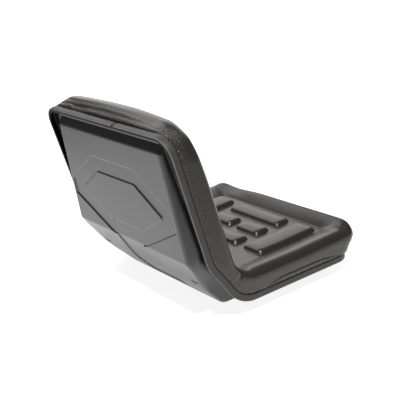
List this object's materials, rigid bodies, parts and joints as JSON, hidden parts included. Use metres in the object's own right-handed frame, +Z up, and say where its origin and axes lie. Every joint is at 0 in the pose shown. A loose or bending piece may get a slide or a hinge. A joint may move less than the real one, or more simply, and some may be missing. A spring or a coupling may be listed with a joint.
{
  "type": "trailer seat",
  "caption": "Padded trailer seat: pressed steel pan with a turned edge, moulded vinyl cushion with bolster and pads, push-on edging and weld nuts for bolting it down.",
  "frame": {"origin": "middle of the mounting bolts on the underside of the pan floor", "axes": "+Z up out of the pan floor, the seat faces -Y, X across the seat with +X on the sitter's left"},
  "size_m": [0.474, 0.4345, 0.4019],
  "materials": {
    "pan_paint": "satin black paint on pressed sheet",
    "vinyl": "satin dark grey-brown vinyl with a fine grain over foam",
    "trim_plastic": "satin extruded edging",
    "plain_steel": "plain steel"
  },
  "bodies": {
    "root": {"seat_pan": "pan_paint", "cushion": "vinyl", "edge_trim": "trim_plastic", "weld_nuts": "plain_steel"}
  },
  "joints": []
}
